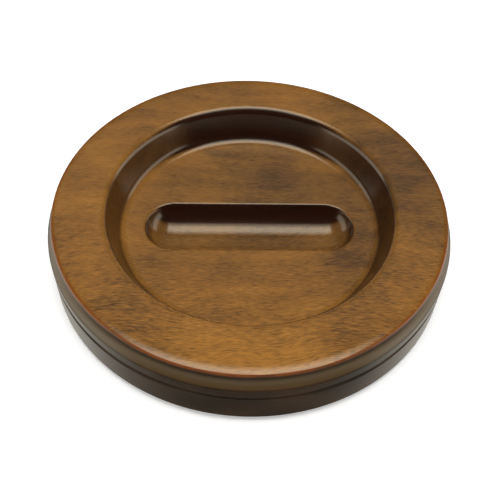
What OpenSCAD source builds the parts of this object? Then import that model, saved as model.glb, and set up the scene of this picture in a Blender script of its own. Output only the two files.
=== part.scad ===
// Caster cup: a turned hardwood cup that stands under the leg of a heavy
// instrument or piece of furniture. The caster wheel rolls into the round
// recess and drops into the slot, and a felt pad glued underneath keeps the
// floor from marks.
//
// Frame: the origin is the centre of the felt's underside, +Z is up, and the
// wheel slot runs along X.

/* [Body] */
// Diameter of the turned body at its widest
body_d = 150; // [130:1:180]
// Height of the wood, without the felt
body_h = 24; // [21:0.5:32]
// Bevel round the bottom edge
foot_bevel = 0.6; // [0.3:0.1:1.2]

/* [Rim] */
// How far the lip stands in from the body's widest diameter
lip_setback = 2; // [1:0.1:4]
// Height of the upright edge of the lip
lip_t = 1.2; // [0.6:0.1:2.5]
// Width from the lip in to where the recess wall would meet the rim
rim_w = 18.3; // [15:0.1:26]
// Width over which the rim rolls down to the lip
crown_w = 3.2; // [2:0.1:7]
// How far the rim drops over that width
crown_drop = 0.9; // [0.4:0.1:1.6]

/* [Side moulding] */
// Height of the hollow cove under the lip
cove_h = 4.9; // [3:0.1:7]
// How deep the cove is cut in from the body's widest diameter
cove_in = 2.8; // [1.6:0.1:5]
// Flat ledge left between the cove and the side below it
cove_ledge = 0.2; // [0.1:0.05:0.6]
// Width of the upright fillet between the cove and the turned groove
fillet_h = 3.4; // [2:0.1:6]
// Width of the turned groove
groove_w = 2.4; // [1.2:0.1:4]
// Depth of the turned groove
groove_in = 1; // [0.4:0.1:1.2]

/* [Recess] */
// Thickness of the wood under the recess floor
floor_t = 10.9; // [9:0.1:14]
// How far the wall comes in between the rim and the floor
wall_in = 6.2; // [2:0.1:9]
// Radius of the rounded edge at the mouth
mouth_round = 3.4; // [0.5:0.1:4.5]
// Radius of the hollow corner between the floor and the wall
corner_r = 5.4; // [1:0.1:6.4]

/* [Wheel slot] */
// Level floor left between each end of the slot and the hollow corner
slot_gap = 4.9; // [3:0.1:14]
// Width of the slot at the middle of its bevel, a caster wheel's with play
slot_w = 23; // [18:0.2:27]
// Thickness of the wood left under the slot
web_t = 2.9; // [2.4:0.1:5]
// Width of the bevel that breaks the slot's edge
slot_bevel = 1.4; // [0.6:0.1:1.8]

/* [Felt] */
// Thickness of the felt pad
felt_t = 2; // [1:0.1:4]
// Thickness of the adhesive film between the felt and the wood
film_t = 0.2; // [0.1:0.05:0.4]
// How far the felt stands in from the edge of the wood
felt_inset = 3; // [1:0.5:8]
// How far the adhesive film stands in from the edge of the felt
film_inset = 0.5; // [0.2:0.1:2]

/* [Hidden] */
$fn = 96;
// How far a cut runs past the face that it opens
eps = 1;
// How far a rounding's disc reaches past the lines it touches
graze = 0.001;

body_r = body_d / 2;
lip_r = body_r - lip_setback;
felt_r = body_r - foot_bevel - felt_inset;
film_r = felt_r - film_inset;

// Corners of the recess's straight wall, before they are rounded
mouth_r = lip_r - rim_w;
foot_r = mouth_r - wall_in;
recess_depth = body_h - floor_t;
slot_depth = floor_t - web_t;

// Heights above the floor that the cup stands on
film_z = felt_t;
wood_z = film_z + film_t;
top_z = wood_z + body_h;
lip_top_z = top_z - crown_drop;
cove_top_z = lip_top_z - lip_t;
cove_bottom_z = cove_top_z - cove_h;
groove_z = cove_bottom_z - fillet_h - groove_w / 2;
floor_z = wood_z + floor_t;

// An arc's radius from its width across and its rise
function arc_r(half_chord, rise) = (half_chord * half_chord + rise * rise) / (2 * rise);

crown_r = arc_r(crown_w, crown_drop);
cove_r = arc_r(cove_h, cove_in - cove_ledge);
groove_r = arc_r(groove_w / 2, groove_in);
slot_r = arc_r(slot_w / 2, slot_depth);

// The recess wall leans out towards the mouth by this angle from upright
wall_lean = atan(wall_in / recess_depth);

// How far a rounding of radius r reaches along the lines of its corner
function reach(r) = r * tan((90 - wall_lean) / 2);

// Half the straight run between the slot's round ends, to the tenth
slot_half = round(10 * (foot_r - reach(corner_r) - slot_gap - slot_w / 2)) / 10;

// Cut-away beyond the rim's crown: a quarter-turned arc that starts level
module crown_cut() {
    difference() {
        translate([lip_r - crown_w, lip_top_z])
            square([crown_w + eps, crown_drop + eps]);
        translate([lip_r - crown_w, top_z - crown_r])
            circle(crown_r);
    }
}

// Hollow under the lip, upright at its top and flared at its bottom
module cove_cut() {
    intersection() {
        translate([body_r - cove_in + cove_r, cove_top_z])
            circle(cove_r);
        translate([0, cove_bottom_z])
            square([body_r + eps, cove_h]);
    }
}

module groove_cut() {
    translate([body_r - groove_in + groove_r, groove_z])
        circle(groove_r);
}

module foot_cut() {
    polygon([
        [body_r - foot_bevel, wood_z],
        [body_r + eps, wood_z + foot_bevel + eps],
        [body_r + eps, wood_z - eps],
        [body_r - foot_bevel, wood_z - eps]
    ]);
}

// What a rounding of radius r takes away from, or adds to, the corner
// between a level line and the recess wall. The corner is at the origin, the
// level line runs along -X, and the wall rises from the origin.
module rounding(r) {
    level_end = [-reach(r), 0];
    wall_end = reach(r) * [sin(wall_lean), cos(wall_lean)];
    past = (wall_end - level_end) / 2;
    difference() {
        polygon([level_end - past, [reach(r), -reach(r)], wall_end + past]);
        translate([-reach(r), r])
            circle(r + graze);
    }
}

// Half-section of the recess, as the space that is cut away. Its corner at
// the floor is filled in, and its edge at the mouth is rounded over.
module recess_space() {
    difference() {
        polygon([
            [0, floor_z],
            [foot_r, floor_z],
            [mouth_r, top_z],
            [mouth_r, top_z + eps],
            [0, top_z + eps]
        ]);
        translate([foot_r, floor_z])
            rounding(corner_r);
    }
    translate([mouth_r, top_z])
        rotate(180)
        rounding(mouth_round);
}

module body_section() {
    difference() {
        union() {
            translate([0, wood_z])
                square([body_r, cove_top_z - wood_z]);
            translate([0, wood_z])
                square([lip_r, body_h]);
        }
        crown_cut();
        cove_cut();
        groove_cut();
        foot_cut();
        recess_space();
    }
}

// Half-section across the slot, as the space that is cut away
module slot_space() {
    intersection() {
        translate([0, floor_z - slot_depth + slot_r])
            circle(slot_r);
        translate([0, floor_z - slot_depth - eps])
            square([slot_w, slot_depth + eps + eps]);
    }
    polygon([
        [0, floor_z - slot_bevel],
        [slot_w / 2 - slot_bevel / 2, floor_z - slot_bevel],
        [slot_w / 2 + slot_bevel / 2, floor_z],
        [slot_w / 2 + slot_bevel / 2, floor_z + eps],
        [0, floor_z + eps]
    ]);
}

module slot_cut() {
    rotate([90, 0, 90])
        linear_extrude(2 * slot_half, center = true) {
            slot_space();
            mirror([1, 0]) slot_space();
        }
    for (side = [-1, 1])
        translate([side * slot_half, 0, 0])
            rotate_extrude() slot_space();
}

// Turned from one blank of hardwood, stained dark and lacquered
module cup_body() {
    color("#7a5230")
    difference() {
        rotate_extrude() body_section();
        slot_cut();
    }
}

// Pressure-sensitive film that holds the felt to the wood
module adhesive_film() {
    color("#cfc6a8")
    translate([0, 0, film_z])
        cylinder(h = film_t, r = film_r);
}

// Die-cut disc of wool felt that the cup stands on
module felt_pad() {
    color("#3c2a20")
    cylinder(h = felt_t, r = felt_r);
}

cup_body();
adhesive_film();
felt_pad();
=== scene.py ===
import math
import random

import bmesh
import bpy
from mathutils import Matrix, Vector


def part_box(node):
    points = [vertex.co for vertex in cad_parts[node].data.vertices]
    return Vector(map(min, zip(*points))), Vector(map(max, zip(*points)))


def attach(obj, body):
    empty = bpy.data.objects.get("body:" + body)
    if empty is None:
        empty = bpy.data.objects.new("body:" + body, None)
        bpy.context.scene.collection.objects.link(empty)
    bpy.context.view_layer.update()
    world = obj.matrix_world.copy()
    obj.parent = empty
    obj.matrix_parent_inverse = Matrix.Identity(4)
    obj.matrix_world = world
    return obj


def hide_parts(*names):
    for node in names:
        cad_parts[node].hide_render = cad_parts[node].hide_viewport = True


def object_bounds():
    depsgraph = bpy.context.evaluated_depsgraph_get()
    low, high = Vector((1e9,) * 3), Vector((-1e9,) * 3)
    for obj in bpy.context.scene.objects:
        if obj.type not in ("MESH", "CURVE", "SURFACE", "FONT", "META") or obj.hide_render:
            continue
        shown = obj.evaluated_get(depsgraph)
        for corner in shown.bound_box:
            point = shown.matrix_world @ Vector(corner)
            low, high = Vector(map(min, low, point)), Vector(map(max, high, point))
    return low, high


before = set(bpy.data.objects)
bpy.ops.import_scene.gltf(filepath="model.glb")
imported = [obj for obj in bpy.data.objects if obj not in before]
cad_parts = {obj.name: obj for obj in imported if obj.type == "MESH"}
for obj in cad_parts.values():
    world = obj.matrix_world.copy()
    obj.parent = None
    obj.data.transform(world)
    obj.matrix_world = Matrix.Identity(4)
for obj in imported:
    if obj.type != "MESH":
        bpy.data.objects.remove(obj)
cad_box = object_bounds()

# ---------------------------------------------------------------------------------------------
# Wooden body. One blank of steamed beech, turned on a faceplate: a dished recess, a rolled rim
# with a thin lip over a cove, and a groove above the plinth. The wheel slot is then routed into
# the recess floor with a ball-nosed cutter, and the whole is stained and sprayed with lacquer.

MM = 0.001            # sizes here are in millimetres, and the scene is in metres
body_low, body_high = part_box("cup_body")
body_r = body_high.x / MM
base_z = body_low.z / MM
rim_z = body_high.z / MM

floor_z = 13.1        # recess floor
mouth_r = 54.0        # recess at the rim, before its edge is rounded
floor_r = 48.5        # recess at its floor, before the corner is filled
mouth_round = 4.2
corner_round = 5.4
crown_start_r = 69.0  # the flat of the rim ends here and rolls over
lip_r = 73.0
lip_top_z = 25.6
lip_foot_z = 24.1
cove_start_r = 72.2
cove_foot_z = 19.2
cove_sweep = 40.0     # how far the cove's section turns, in degrees
groove_z = 14.6
groove_half = 1.2
groove_in = 1.0
foot_bevel = 0.6
arris = 0.22          # how far the sharp turned edges are eased by sanding
nose = 0.85           # the top edge of the lip, rounded over
slot_half = 28.7      # the cutter's travel each way from the middle
slot_r = 12.266       # the cutter's radius
slot_axis_z = 17.366  # height of the cutter's centre
slot_ease = 1.6       # the slot's mouth, rounded over
slot_apron = 2.5      # level floor beside the slot that still follows its outline
floor_flat_r = 44.3   # the level floor is drawn out to here, inside the hollow corner
hub_r = 2.0           # the underside's last ring, which closes on the axis

COLUMNS = 384             # points round each ring
STEP = math.radians(5.0)  # the most that a drawn arc turns from point to point
FLOOR_STEPS = 9           # rings from the slot's outline to the round floor


def arc(centre, radius, start, end):
    """Points on an arc in the (radius, height) section, from one angle to another."""
    count = max(2, math.ceil(abs(end - start) / STEP))
    return [
        (centre[0] + radius * math.cos(start + (end - start) * i / count),
         centre[1] + radius * math.sin(start + (end - start) * i / count), 0.0)
        for i in range(count + 1)
    ]


def eased(corners):
    """The section through corners (radius, height, rounding), with every rounding drawn as an arc."""
    points = []
    for i, (r, z, rounding) in enumerate(corners):
        here = Vector((r, z))
        if not rounding or i in (0, len(corners) - 1):
            points.append(here)
            continue
        back = (Vector(corners[i - 1][:2]) - here).normalized()
        on = (Vector(corners[i + 1][:2]) - here).normalized()
        half = back.angle(on) / 2
        middle = here + (back + on).normalized() * rounding / math.sin(half)
        first = here + back * rounding / math.tan(half) - middle
        last = here + on * rounding / math.tan(half) - middle
        turn = first.angle_signed(last)
        count = max(3, math.ceil(abs(turn) / STEP))
        for k in range(count + 1):
            points.append(middle + Matrix.Rotation(-turn * k / count, 2) @ first)
    return points


def braced(points, near=0.14, longest=4.0):
    """Adds points beside the ends of each long straight run, so that it shades flat to its ends."""
    out = [points[0]]
    for a, b in zip(points, points[1:]):
        length = (b - a).length
        if length > 8 * near:
            count = max(1, math.ceil((length - 2 * near) / longest))
            for k in range(count + 1):
                out.append(a.lerp(b, (near + (length - 2 * near) * k / count) / length))
        out.append(b)
    return out


crown_r = ((lip_r - crown_start_r) ** 2 + (rim_z - lip_top_z) ** 2) / (2 * (rim_z - lip_top_z))
crown_end = math.atan2(lip_top_z - (rim_z - crown_r), lip_r - crown_start_r)
cove_drop = lip_foot_z - cove_foot_z
cove_width = body_r - cove_start_r
cove_half = math.radians(cove_sweep) / 2
cove_top = math.atan2(cove_width, cove_drop) - cove_half
cove_r = math.hypot(cove_width, cove_drop) / (2 * math.sin(cove_half))
cove_centre = (cove_start_r + cove_r * math.cos(cove_top), lip_foot_z + cove_r * math.sin(cove_top))
groove_r = (groove_in ** 2 + groove_half ** 2) / (2 * groove_in)
groove_open = math.asin(groove_half / groove_r)

outline = eased(
    [(floor_flat_r, floor_z, 0), (floor_r, floor_z, corner_round), (mouth_r, rim_z, mouth_round)]
    + arc((crown_start_r, rim_z - crown_r), crown_r, math.pi / 2, crown_end)[:-1]
    + [(lip_r, lip_top_z, nose), (lip_r, lip_foot_z, arris)]
    + arc(cove_centre, cove_r, math.pi + cove_top, math.pi + cove_top + 2 * cove_half)[:-1]
    + [(body_r, cove_foot_z, arris), (body_r, groove_z + groove_half, arris)]
    + arc((body_r - groove_in + groove_r, groove_z), groove_r,
          math.pi - groove_open, math.pi + groove_open)[1:-1]
    + [(body_r, groove_z - groove_half, arris), (body_r, base_z + foot_bevel, arris)]
    + [(body_r - foot_bevel, base_z, arris), (hub_r, base_z, 0)]
)

slot_open = math.acos((slot_axis_z - floor_z) / slot_r)
slot_mouth = slot_r * math.sin(slot_open)
slot_section = eased(
    arc((0, slot_axis_z), slot_r, -math.pi / 2, slot_open - math.pi / 2)[:-1]
    + [(slot_mouth, floor_z, slot_ease), (slot_mouth + slot_apron, floor_z, 0)]
)

# The cutter's path round the slot: where its centre stands, and the way it faces there.
# The points are shared out so that they stand evenly along its mouth.
straight = round(COLUMNS * slot_half / (2 * slot_half + math.pi * slot_mouth))
straight -= straight % 2
quarter = (COLUMNS - 2 * straight) // 4
path = []
for side, first in ((1, 0.0), (-1, math.pi)):
    for k in range(quarter):
        angle = first + math.pi / 2 * k / quarter
        path.append((side * slot_half, angle))
    for k in range(straight):
        path.append((side * slot_half * (1 - 2 * k / straight), first + math.pi / 2))
    for k in range(quarter):
        angle = first + math.pi / 2 * (1 + k / quarter)
        path.append((-side * slot_half, angle))


def slot_ring(reach, z):
    """A ring round the slot, the given way out from the cutter's path."""
    return [Vector((x + reach * math.cos(a), reach * math.sin(a), z)) for x, a in path]


def round_ring(radius, z):
    """A ring round the axis."""
    turns = [math.tau * i / COLUMNS for i in range(COLUMNS)]
    return [Vector((radius * math.cos(a), radius * math.sin(a), z)) for a in turns]


rings = [slot_ring(p.x, p.y) for p in braced(slot_section)]
slot_edge = rings[-1]
floor_edge = round_ring(floor_flat_r, floor_z)
for k in range(1, FLOOR_STEPS):
    rings.append([near.lerp(far, k / FLOOR_STEPS) for near, far in zip(slot_edge, floor_edge)])
rings += [round_ring(p.x, p.y) for p in braced(outline)]


def skin(name, rings, tips=()):
    """One closed mesh through rings of equal count, smooth-shaded, with points that meet joined.
    tips are pairs of an end ring's number and the point that closes it."""
    form = bmesh.new()
    rows = [[form.verts.new(p * MM) for p in ring] for ring in rings]
    for upper, lower in zip(rows, rows[1:]):
        for i in range(len(upper)):
            j = (i + 1) % len(upper)
            form.faces.new((upper[i], upper[j], lower[j], lower[i]))
    for number, tip in tips:
        point = form.verts.new(Vector(tip) * MM)
        end = rows[number]
        for i in range(len(end)):
            form.faces.new((end[i], end[(i + 1) % len(end)], point))
    bmesh.ops.remove_doubles(form, verts=form.verts, dist=0.0005 * MM)
    bmesh.ops.recalc_face_normals(form, faces=form.faces)
    for face in form.faces:
        face.smooth = True
    mesh = bpy.data.meshes.new(name)
    form.to_mesh(mesh)
    form.free()
    piece = bpy.data.objects.new(name, mesh)
    bpy.context.scene.collection.objects.link(piece)
    return piece


cup = skin("turned_wooden_cup", rings, tips=[(-1, (0, 0, base_z))])


def colour(code):
    """A surface colour from its sRGB hex code."""
    channels = [int(code[i:i + 2], 16) / 255 for i in (1, 3, 5)]
    return [c / 12.92 if c <= 0.04045 else ((c + 0.055) / 1.055) ** 2.4 for c in channels] + [1.0]


def add(tree, kind, inputs=(), out=None, **settings):
    """Adds a node, sets it, and fills its inputs with values or links. Gives back one output."""
    node = tree.nodes.new("ShaderNode" + kind)
    for key, value in settings.items():
        setattr(node, key, value)
    for key, value in dict(inputs).items():
        socket = node.inputs[key] if isinstance(key, int) else next(
            s for s in node.inputs if key in (s.identifier, s.name) and s.enabled)
        if isinstance(value, bpy.types.NodeSocket):
            tree.links.new(value, socket)
        else:
            socket.default_value = value
    if out is not None:
        return node.outputs[out]
    return next((s for s in node.outputs if s.enabled), node)


def blank_material(name):
    """A material with no nodes yet, and its node tree."""
    material = bpy.data.materials.new(name)
    material.use_nodes = True
    material.node_tree.nodes.clear()
    return material, material.node_tree


SMOOTH = {"interpolation_type": "SMOOTHSTEP"}

# Walnut-stained beech under semi-gloss amber lacquer: a warm brown, cloudy where the stain took
# unevenly, with short fine grain along the board, near black on steep faces (stain and painted shade), a
# painted sheen on the cove, and rubbed through to orange-brown along the lip's edge. The lacquer gives
# soft-edged, slightly warm highlights.
wood, tree = blank_material("walnut_stained_beech_lacquered")
place = add(tree, "TexCoord", out="Object")
mm = add(tree, "VectorMath", {0: place, "Scale": 1 / MM}, operation="SCALE")
at = add(tree, "SeparateXYZ", {0: mm}, out="X").node
x_mm, y_mm, z_mm = (at.outputs[axis] for axis in "XYZ")

# the fibres wander a few millimetres over a hand's width, and ripple a little along the way
wander = add(tree, "TexNoise", {"Vector": mm, "Scale": 0.014, "Detail": 1.0}, out="Color")
wander = add(tree, "VectorMath", {0: wander, 1: (-0.5, -0.5, -0.5)}, operation="ADD")
wander = add(tree, "VectorMath", {0: wander, 1: (0.0, 22.0, 6.0)}, operation="MULTIPLY")
ripple = add(tree, "TexNoise", {"Vector": mm, "Scale": 0.07, "Detail": 1.0}, out="Color")
ripple = add(tree, "VectorMath", {0: ripple, 1: (-0.5, -0.5, -0.5)}, operation="ADD")
ripple = add(tree, "VectorMath", {0: ripple, 1: (0.0, 1.8, 0.8)}, operation="MULTIPLY")
board = add(tree, "VectorMath", {0: mm, 1: wander}, operation="ADD")
board = add(tree, "VectorMath", {0: board, 1: ripple}, operation="ADD")

# fibres: about 4 mm long, and drawn 0.5 mm across, several times the real width, to show
fibre = add(tree, "Mapping", {"Vector": board, "Scale": (1 / 4.0, 1 / 0.5, 1 / 0.5)})
fibre = add(tree, "TexNoise", {"Vector": fibre, "Scale": 1.0, "Detail": 2.0, "Roughness": 0.65},
            out="Fac")
# vessels: dashes 3 mm long and 0.3 mm across, drawn several times the real width, to show
vessel = add(tree, "Mapping", {"Vector": board, "Scale": (1 / 3.2, 1 / 0.28, 1 / 0.28),
                               "Location": (9.0, 2.0, 5.0)})
vessel = add(tree, "TexNoise", {"Vector": vessel, "Scale": 1.0, "Detail": 1.0, "Roughness": 0.7},
             out="Fac")
vessel = add(tree, "Math", {0: vessel, 1: 0.5}, operation="SUBTRACT")
# ray flecks: dark dashes 2 mm long
fleck = add(tree, "Mapping", {"Vector": board, "Scale": (1 / 2.4, 1 / 0.7, 1 / 0.7),
                              "Location": (31.0, 7.0, 3.0)})
fleck = add(tree, "TexNoise", {"Vector": fleck, "Scale": 1.0, "Detail": 0.0}, out="Fac")
fleck = add(tree, "MapRange", {"Value": fleck, "From Min": 0.60, "From Max": 0.78})
# growth rings come to the face as broad soft bands, 55 mm long and 4 mm across
band = add(tree, "Mapping", {"Vector": board, "Scale": (1 / 55, 1 / 4.2, 1 / 4.2)})
band = add(tree, "TexNoise", {"Vector": band, "Scale": 1.0, "Detail": 2.0}, out="Fac")
# mottle where the stain took darker, the size of a fingertip
mottle = add(tree, "Mapping", {"Vector": board, "Scale": (1 / 26, 1 / 15, 1 / 15),
                               "Location": (4.0, 1.0, 0.0)})
mottle = add(tree, "TexNoise", {"Vector": mottle, "Scale": 1.0, "Detail": 3.0, "Roughness": 0.6},
             out="Fac")

# how light the stain is: the vessels are more open towards the front of the board
open_grain = add(tree, "MapRange", {"Value": y_mm, "From Min": -60.0, "From Max": 25.0,
                                    "To Min": 1.05, "To Max": 0.32})
tone = add(tree, "Math", {0: fibre, 1: 0.24, 2: 0.11}, operation="MULTIPLY_ADD")
for layer, weight in ((vessel, open_grain), (band, 0.24), (mottle, 0.55), (fleck, -0.05)):
    tone = add(tree, "Math", {0: layer, 1: weight, 2: tone}, operation="MULTIPLY_ADD")
# this board's own clouds: middle and reach in millimetres, and how much lighter or darker
for x, y, reach, change in ((4, 22, 34, -0.17), (62, 14, 38, -0.19), (37, -12, 19, -0.14),
                            (48, 52, 26, -0.06), (-2, -70, 38, 0.21), (-62, 4, 32, 0.09),
                            (0, -30, 24, 0.05)):
    away = add(tree, "VectorMath", {0: mm, 1: (x, y, 20.0)}, out="Value", operation="DISTANCE")
    cloud = add(tree, "MapRange", {"Value": away, "From Min": reach, "From Max": 0.2 * reach,
                                   "To Max": change}, **SMOOTH)
    tone = add(tree, "Math", {0: tone, 1: cloud}, operation="ADD")
tone = add(tree, "MapRange", {"Value": tone, "From Min": 0.36, "From Max": 0.91})
stain_and_painted_shading = add(tree, "Mix", {"Factor_Float": tone, "A_Color": colour("#45301c"),
                          "B_Color": colour("#96662b")}, data_type="RGBA")

# steep faces are far darker: partly from the stain they drink, and partly painted shade, darkest
# on faces that look to the front, and a little less on those that face left or right, where painted
# light lifts them
facing = add(tree, "NewGeometry", out="Normal")
facing = add(tree, "SeparateXYZ", {0: facing}, out="Z").node
face_x, face_y, face_z = (facing.outputs[axis] for axis in "XYZ")
steep = add(tree, "MapRange", {"Value": face_z, "From Min": 0.84, "From Max": 0.52}, **SMOOTH)
# painted shade: faces that look to the front are made dark
front_facing_painted_shade = add(tree, "MapRange", {"Value": face_y, "From Min": -0.38, "From Max": -0.58}, **SMOOTH)
sideways = add(tree, "Math", {0: face_x}, operation="ABSOLUTE")
sideways = add(tree, "MapRange", {"Value": sideways, "From Min": 0.40, "From Max": 0.62}, **SMOOTH)
# painted light: faces that look left or right are made less dark, most those that face right
side_facing_painted_light = add(tree, "MapRange", {"Value": face_x, "From Min": -0.6, "From Max": 0.6,
                               "To Min": -0.16, "To Max": -0.26})
side_facing_painted_light = add(tree, "Math", {0: sideways, 1: side_facing_painted_light, 2: 1.0}, operation="MULTIPLY_ADD")
dark = add(tree, "Math", {0: steep, 1: front_facing_painted_shade}, operation="MAXIMUM")
dark = add(tree, "Math", {0: dark, 1: side_facing_painted_light}, operation="MULTIPLY")
# the whole outer side from the lip down is dark, partly stain and partly painted shade, and the slot
# below the floor a little darker, painted shade
from_axis = add(tree, "CombineXYZ", {0: x_mm, 1: y_mm})
from_axis = add(tree, "VectorMath", {0: from_axis}, out="Value", operation="LENGTH")
outer = add(tree, "MapRange", {"Value": from_axis, "From Min": 66.0, "From Max": 67.0})
below = add(tree, "MapRange", {"Value": z_mm, "From Min": lip_top_z + 0.15,
                               "From Max": lip_top_z - 0.15})
side = add(tree, "Math", {0: outer, 1: below}, operation="MULTIPLY")
# painted shade inside the routed slot
routed = add(tree, "MapRange", {"Value": z_mm, "From Min": floor_z, "From Max": floor_z - 1.2,
                                "To Max": 0.20})
dark = add(tree, "Math", {0: dark, 1: side}, operation="MAXIMUM")
dark = add(tree, "Math", {0: dark, 1: routed}, operation="MAXIMUM")

# the dark colour, dark stain with painted shade: near black inside, and cloudy from red-brown to
# black-brown on the outer side
dark_stain_and_shade = add(tree, "Mix", {"Factor_Float": band, "A_Color": colour("#140804"),
                         "B_Color": colour("#2c140a")}, data_type="RGBA")
cloudy = add(tree, "MapRange", {"Value": mottle, "From Min": 0.38, "From Max": 0.62})
sides = add(tree, "Mix", {"Factor_Float": cloudy, "A_Color": colour("#1a0f08"),
                          "B_Color": colour("#331e0e")}, data_type="RGBA")
dark_stain_and_shade = add(tree, "Mix", {"Factor_Float": side, "A_Color": dark_stain_and_shade, "B_Color": sides}, data_type="RGBA")
# painted sheen: the cove is made paler than the lip and the band, standing in for the bright table
# mirrored in it
cove_painted_sheen = add(tree, "MapRange", {"Value": z_mm, "From Min": lip_foot_z - 0.4,
                               "From Max": lip_foot_z - 2.8}, **SMOOTH)
up_from = add(tree, "MapRange", {"Value": z_mm, "From Min": cove_foot_z,
                                 "From Max": cove_foot_z + 0.7}, **SMOOTH)
cove_painted_sheen = add(tree, "Math", {0: cove_painted_sheen, 1: up_from}, operation="MULTIPLY")
cove_painted_sheen = add(tree, "Math", {0: cove_painted_sheen, 1: outer}, operation="MULTIPLY")
dark_stain_and_shade = add(tree, "Mix", {"Factor_Float": cove_painted_sheen, "A_Color": dark_stain_and_shade, "B_Color": colour("#47361f")},
           data_type="RGBA")
# painted shade: the dark colour is laid over the stain wherever the mask above says
stain_and_painted_shading = add(tree, "Mix", {"Factor_Float": dark, "A_Color": stain_and_painted_shading, "B_Color": dark_stain_and_shade}, data_type="RGBA")

# the lip's nose and upright edge are rubbed through to orange-brown, more in some places
rubbed = add(tree, "MapRange", {"Value": z_mm, "From Min": lip_top_z + 0.42,
                                "From Max": lip_top_z + 0.12})
up_from = add(tree, "MapRange", {"Value": z_mm, "From Min": lip_foot_z + 0.2,
                                 "From Max": lip_foot_z + 1.2})
patchy = add(tree, "TexNoise", {"Vector": mm, "Scale": 0.11, "Detail": 3.0}, out="Fac")
patchy = add(tree, "MapRange", {"Value": patchy, "From Min": 0.38, "From Max": 0.56, "To Min": 0.45})
for limit in (up_from, outer, patchy):
    rubbed = add(tree, "Math", {0: rubbed, 1: limit}, operation="MULTIPLY")
stain_and_painted_shading = add(tree, "Mix", {"Factor_Float": rubbed, "A_Color": stain_and_painted_shading, "B_Color": colour("#6c350a")},
            data_type="RGBA")

# the lacquer is semi-gloss on top and satin on the side
bump = add(tree, "Bump", {"Height": fibre, "Strength": 0.05, "Distance": 0.1 * MM})
gloss = add(tree, "MapRange", {"Value": mottle, "To Min": 0.15, "To Max": 0.21})
gloss = add(tree, "Math", {0: side, 1: 0.16, 2: gloss}, operation="MULTIPLY_ADD")
shader = add(tree, "BsdfPrincipled", {"Base Color": stain_and_painted_shading, "Roughness": gloss, "Normal": bump,
                                      "IOR": 1.5, "Specular Tint": colour("#fff6de")})
add(tree, "OutputMaterial", {"Surface": shader})
cup.data.materials.append(wood)
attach(cup, "root")
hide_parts("cup_body")

# ---------------------------------------------------------------------------------------------
# Adhesive film. A disc of clear double-sided acrylic transfer film, die-cut and rolled on to the
# underside of the wood. It holds the felt.

film_low, film_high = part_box("adhesive_film")
EDGE_STEPS = 8   # rings round the bulge of a thin disc's edge
WOBBLE_IN = 6.0  # how far in from the edge a disc's unevenness fades out


def pressed_disc(name, low, high, wobble, bulge, seed):
    """A thin round sheet in millimetres, with an uneven cut edge that bulges by the given amount."""
    rough = random.Random(seed)
    radius = high.x / MM
    bottom = low.z / MM
    top = high.z / MM
    waves = [(n, rough.uniform(0, math.tau), rough.uniform(0.2, 1.0) / n) for n in (2, 3, 5, 9, 17, 31)]
    scale = wobble / sum(strength for _, _, strength in waves)

    def ring(inset, z):
        made = []
        for i in range(COLUMNS):
            a = math.tau * i / COLUMNS
            uneven = scale * sum(s * (1 + math.sin(n * a + p)) / 2 for n, p, s in waves)
            r = radius - inset - uneven * min(1.0, max(0.0, 1 - inset / WOBBLE_IN))
            made.append(Vector((r * math.cos(a), r * math.sin(a), z)))
        return made

    thick = top - bottom
    # rings of the two faces, by how far in they stand
    spread = [radius - 0.5, radius * 0.75, radius * 0.5, radius * 0.25, 6.0, 2.0, 0.8]
    made = [ring(inset, top) for inset in spread]
    for k in range(EDGE_STEPS + 1):
        a = math.pi * k / EDGE_STEPS
        made.append(ring(bulge * (1 - math.sin(a)), bottom + thick / 2 * (1 + math.cos(a))))
    made += [ring(inset, bottom) for inset in reversed(spread)]
    return skin(name, made, tips=[(0, (0, 0, top)), (-1, (0, 0, bottom))])


film = pressed_disc("adhesive_film_disc", film_low, film_high, wobble=0.3, bulge=0.05, seed=3)
# Clear acrylic transfer film, rolled on: smooth and pale straw-coloured, mottled by trapped
# bubbles about 1.7 mm across.
clear, tree = blank_material("acrylic_transfer_film")
place = add(tree, "TexCoord", out="Object")
mm = add(tree, "VectorMath", {0: place, "Scale": 1 / MM}, operation="SCALE")
bubbles = add(tree, "TexNoise", {"Vector": mm, "Scale": 0.6, "Detail": 3.0}, out="Fac")
tint = add(tree, "Mix", {"Factor_Float": bubbles, "A_Color": colour("#b8ad8c"),
                         "B_Color": colour("#d8cfb4")}, data_type="RGBA")
bump = add(tree, "Bump", {"Height": bubbles, "Strength": 0.1, "Distance": 0.1 * MM})
shader = add(tree, "BsdfPrincipled", {"Base Color": tint, "Roughness": 0.3, "Normal": bump, "IOR": 1.48})
add(tree, "OutputMaterial", {"Surface": shader})
film.data.materials.append(clear)
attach(film, "root")
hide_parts("adhesive_film")

# ---------------------------------------------------------------------------------------------
# Felt pad. A disc of pressed brown wool felt, die-cut a little smaller than the foot and pressed
# on to the film. The cup stands on it.

felt_low, felt_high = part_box("felt_pad")
felt = pressed_disc("wool_felt_pad", felt_low, felt_high, wobble=0.4, bulge=0.5, seed=7)
# Pressed wool felt: dull dark brown, matted in clouds about 8 mm across, with curled hairs
# half a millimetre apart that catch the light.
wool, tree = blank_material("pressed_wool_felt")
place = add(tree, "TexCoord", out="Object")
mm = add(tree, "VectorMath", {0: place, "Scale": 1 / MM}, operation="SCALE")
hairs = add(tree, "TexNoise", {"Vector": mm, "Scale": 2.2, "Detail": 4.0, "Distortion": 1.5}, out="Fac")
matted = add(tree, "TexNoise", {"Vector": mm, "Scale": 0.12, "Detail": 2.0}, out="Fac")
shade = add(tree, "Math", {0: matted, 1: 0.5, 2: hairs}, operation="MULTIPLY_ADD")
shade = add(tree, "MapRange", {"Value": shade, "From Min": 0.5, "From Max": 1.0})
tint = add(tree, "Mix", {"Factor_Float": shade, "A_Color": colour("#2a1c14"),
                         "B_Color": colour("#56402f")}, data_type="RGBA")
bump = add(tree, "Bump", {"Height": hairs, "Strength": 0.6, "Distance": 0.4 * MM})
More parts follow.
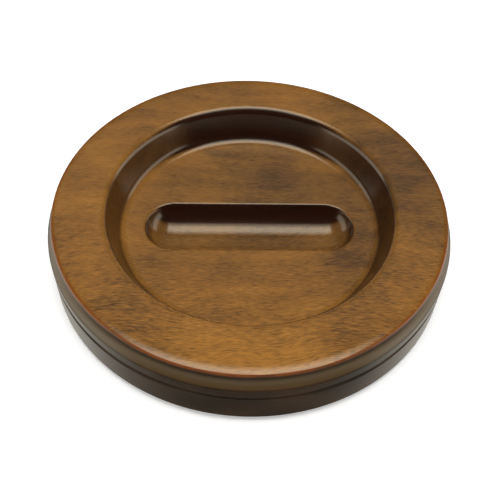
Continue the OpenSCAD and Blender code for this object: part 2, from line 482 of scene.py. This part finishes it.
shader = add(tree, "BsdfPrincipled", {"Base Color": tint, "Roughness": 0.95, "Normal": bump,
                                      "Sheen Weight": 0.35, "Sheen Roughness": 0.5})
add(tree, "OutputMaterial", {"Surface": shader})
felt.data.materials.append(wool)
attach(felt, "root")
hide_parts("felt_pad")

# ---------------------------------------------------------------------------------------------
# Studio. A plain white table under two softboxes overhead, with a low panel at each side, a weak
# one behind, and a broad fill that doesn't show in the lacquer. Its sizes are in metres.

table_half = 0.6
corners = [(-table_half, -table_half, 0), (table_half, -table_half, 0),
           (table_half, table_half, 0), (-table_half, table_half, 0)]
sheet = bpy.data.meshes.new("table_top")
sheet.from_pydata(corners, [], [(0, 1, 2, 3)])
table = bpy.data.objects.new("table_top", sheet)
table.location.z = cad_box[0][2] - 0.1 * MM
bpy.context.scene.collection.objects.link(table)
# Matt white paper: an even, dull white, lifted by a little glow of its own.
paper, tree = blank_material("matt_white_paper")
shader = add(tree, "BsdfPrincipled", {"Base Color": colour("#f4f4f2"), "Roughness": 0.9,
                                      "Emission Color": colour("#ffffff"), "Emission Strength": 0.25})
add(tree, "OutputMaterial", {"Surface": shader})
table.data.materials.append(paper)
table.visible_glossy = False  # the lacquer mirrors the room, and not the sheet


def softbox(name, azimuth, elevation, distance, width, height, radiance):
    """A soft white panel that faces the object. Azimuth 0 is in front, and 90 is to the right."""
    lamp = bpy.data.lights.new(name, "AREA")
    lamp.shape = "RECTANGLE"
    lamp.size = width
    lamp.size_y = height
    lamp.energy = 4 * radiance * width * height
    panel = bpy.data.objects.new(name, lamp)
    a = math.radians(azimuth)
    e = math.radians(elevation)
    outward = Vector((math.sin(a) * math.cos(e), -math.cos(a) * math.cos(e), math.sin(e)))
    panel.location = outward * distance
    panel.rotation_euler = (-panel.location).to_track_quat("-Z", "Y").to_euler()
    bpy.context.scene.collection.objects.link(panel)
    return panel


# azimuth and elevation in degrees, then distance, width, height and radiance
softbox("overhead", 0, 88, 0.9, 0.76, 0.32, 2.5)
softbox("overhead_wide", 0, 87, 0.95, 0.84, 0.66, 2.0)
softbox("fill", 0, 75, 1.2, 1.5, 1.5, 0.9).visible_glossy = False
softbox("left_side", -86, 15, 0.9, 1.0, 0.46, 1.8)
softbox("right_side", 86, 15, 0.9, 1.0, 0.46, 2.0)
softbox("behind", 180, 48, 1.4, 1.6, 0.6, 0.25)

# The room: dark above, bright in a low band round the horizon, and dim below it. Heights run
# from 0 straight down, through 0.5 at the horizon, to 1 straight up.
world = bpy.data.worlds.new("dim_studio")
bpy.context.scene.world = world
world.use_nodes = True
tree = world.node_tree
tree.nodes.clear()
look = add(tree, "TexCoord", out="Generated")
height = add(tree, "SeparateXYZ", {0: look}, out="Z")
height = add(tree, "MapRange", {"Value": height, "From Min": -1.0, "From Max": 1.0})
room = add(tree, "ValToRGB", {0: height})
stops = room.node.color_ramp.elements
stops[0].position = 0.0
stops[0].color = (0.19, 0.16, 0.12, 1)
stops[1].position = 0.55
stops[1].color = (0.03, 0.028, 0.024, 1)
for at_height, bright in ((0.36, 0.2), (0.42, 1.2), (0.53, 1.2)):
    stops.new(at_height).color = (bright, 0.96 * bright, 0.88 * bright, 1)
# below the horizon, the sides and the back of the room are brighter than the front
behind = add(tree, "SeparateXYZ", {0: look}, out="Y")
behind = add(tree, "MapRange", {"Value": behind, "From Min": -0.25, "From Max": 0.25})
low = add(tree, "MapRange", {"Value": height, "From Min": 0.50, "From Max": 0.40})
behind = add(tree, "Math", {0: behind, 1: low}, operation="MULTIPLY")
room = add(tree, "Mix", {"Factor_Float": behind, "A_Color": room, "B_Color": (1.2, 1.18, 1.06, 1)},
           data_type="RGBA")
glow = add(tree, "Background", {"Color": room, "Strength": 1.0})
add(tree, "OutputWorld", {"Surface": glow})

# Camera: at reading distance, looking down at 50 degrees from a little to the left, and held
# slightly askew.
eye_distance = 0.2995
eye_elevation = math.radians(50.01)
round_cup = math.radians(-2.2)
pitch = eye_elevation + 0.0073  # in radians, aimed just short of the middle of the foot
yaw = 0.0024                    # and just to the right of it
roll = 0.0388                   # the tilt to one side
camera = bpy.data.cameras.new("camera")
camera.sensor_width = 36.0
camera.lens = 54.62
camera.clip_start = 0.01
eye = bpy.data.objects.new("camera", camera)
stand = Vector((0, -math.cos(eye_elevation), math.sin(eye_elevation))) * eye_distance
ahead = Vector((math.sin(yaw) * math.cos(pitch), math.cos(yaw) * math.cos(pitch), -math.sin(pitch)))
across = ahead.cross(Vector((0, 0, 1))).normalized()
up = across.cross(ahead)
right = across * math.cos(roll) + up * math.sin(roll)
above = up * math.cos(roll) - across * math.sin(roll)
axes = Matrix((right, above, -ahead)).transposed().to_4x4()
turn = Matrix.Rotation(round_cup, 4, "Z")
eye.matrix_world = Matrix.Translation((0, 0, base_z * MM)) @ turn @ Matrix.Translation(stand) @ axes
bpy.context.scene.collection.objects.link(eye)
bpy.context.scene.camera = eye
bpy.context.scene.view_settings.view_transform = "Standard"
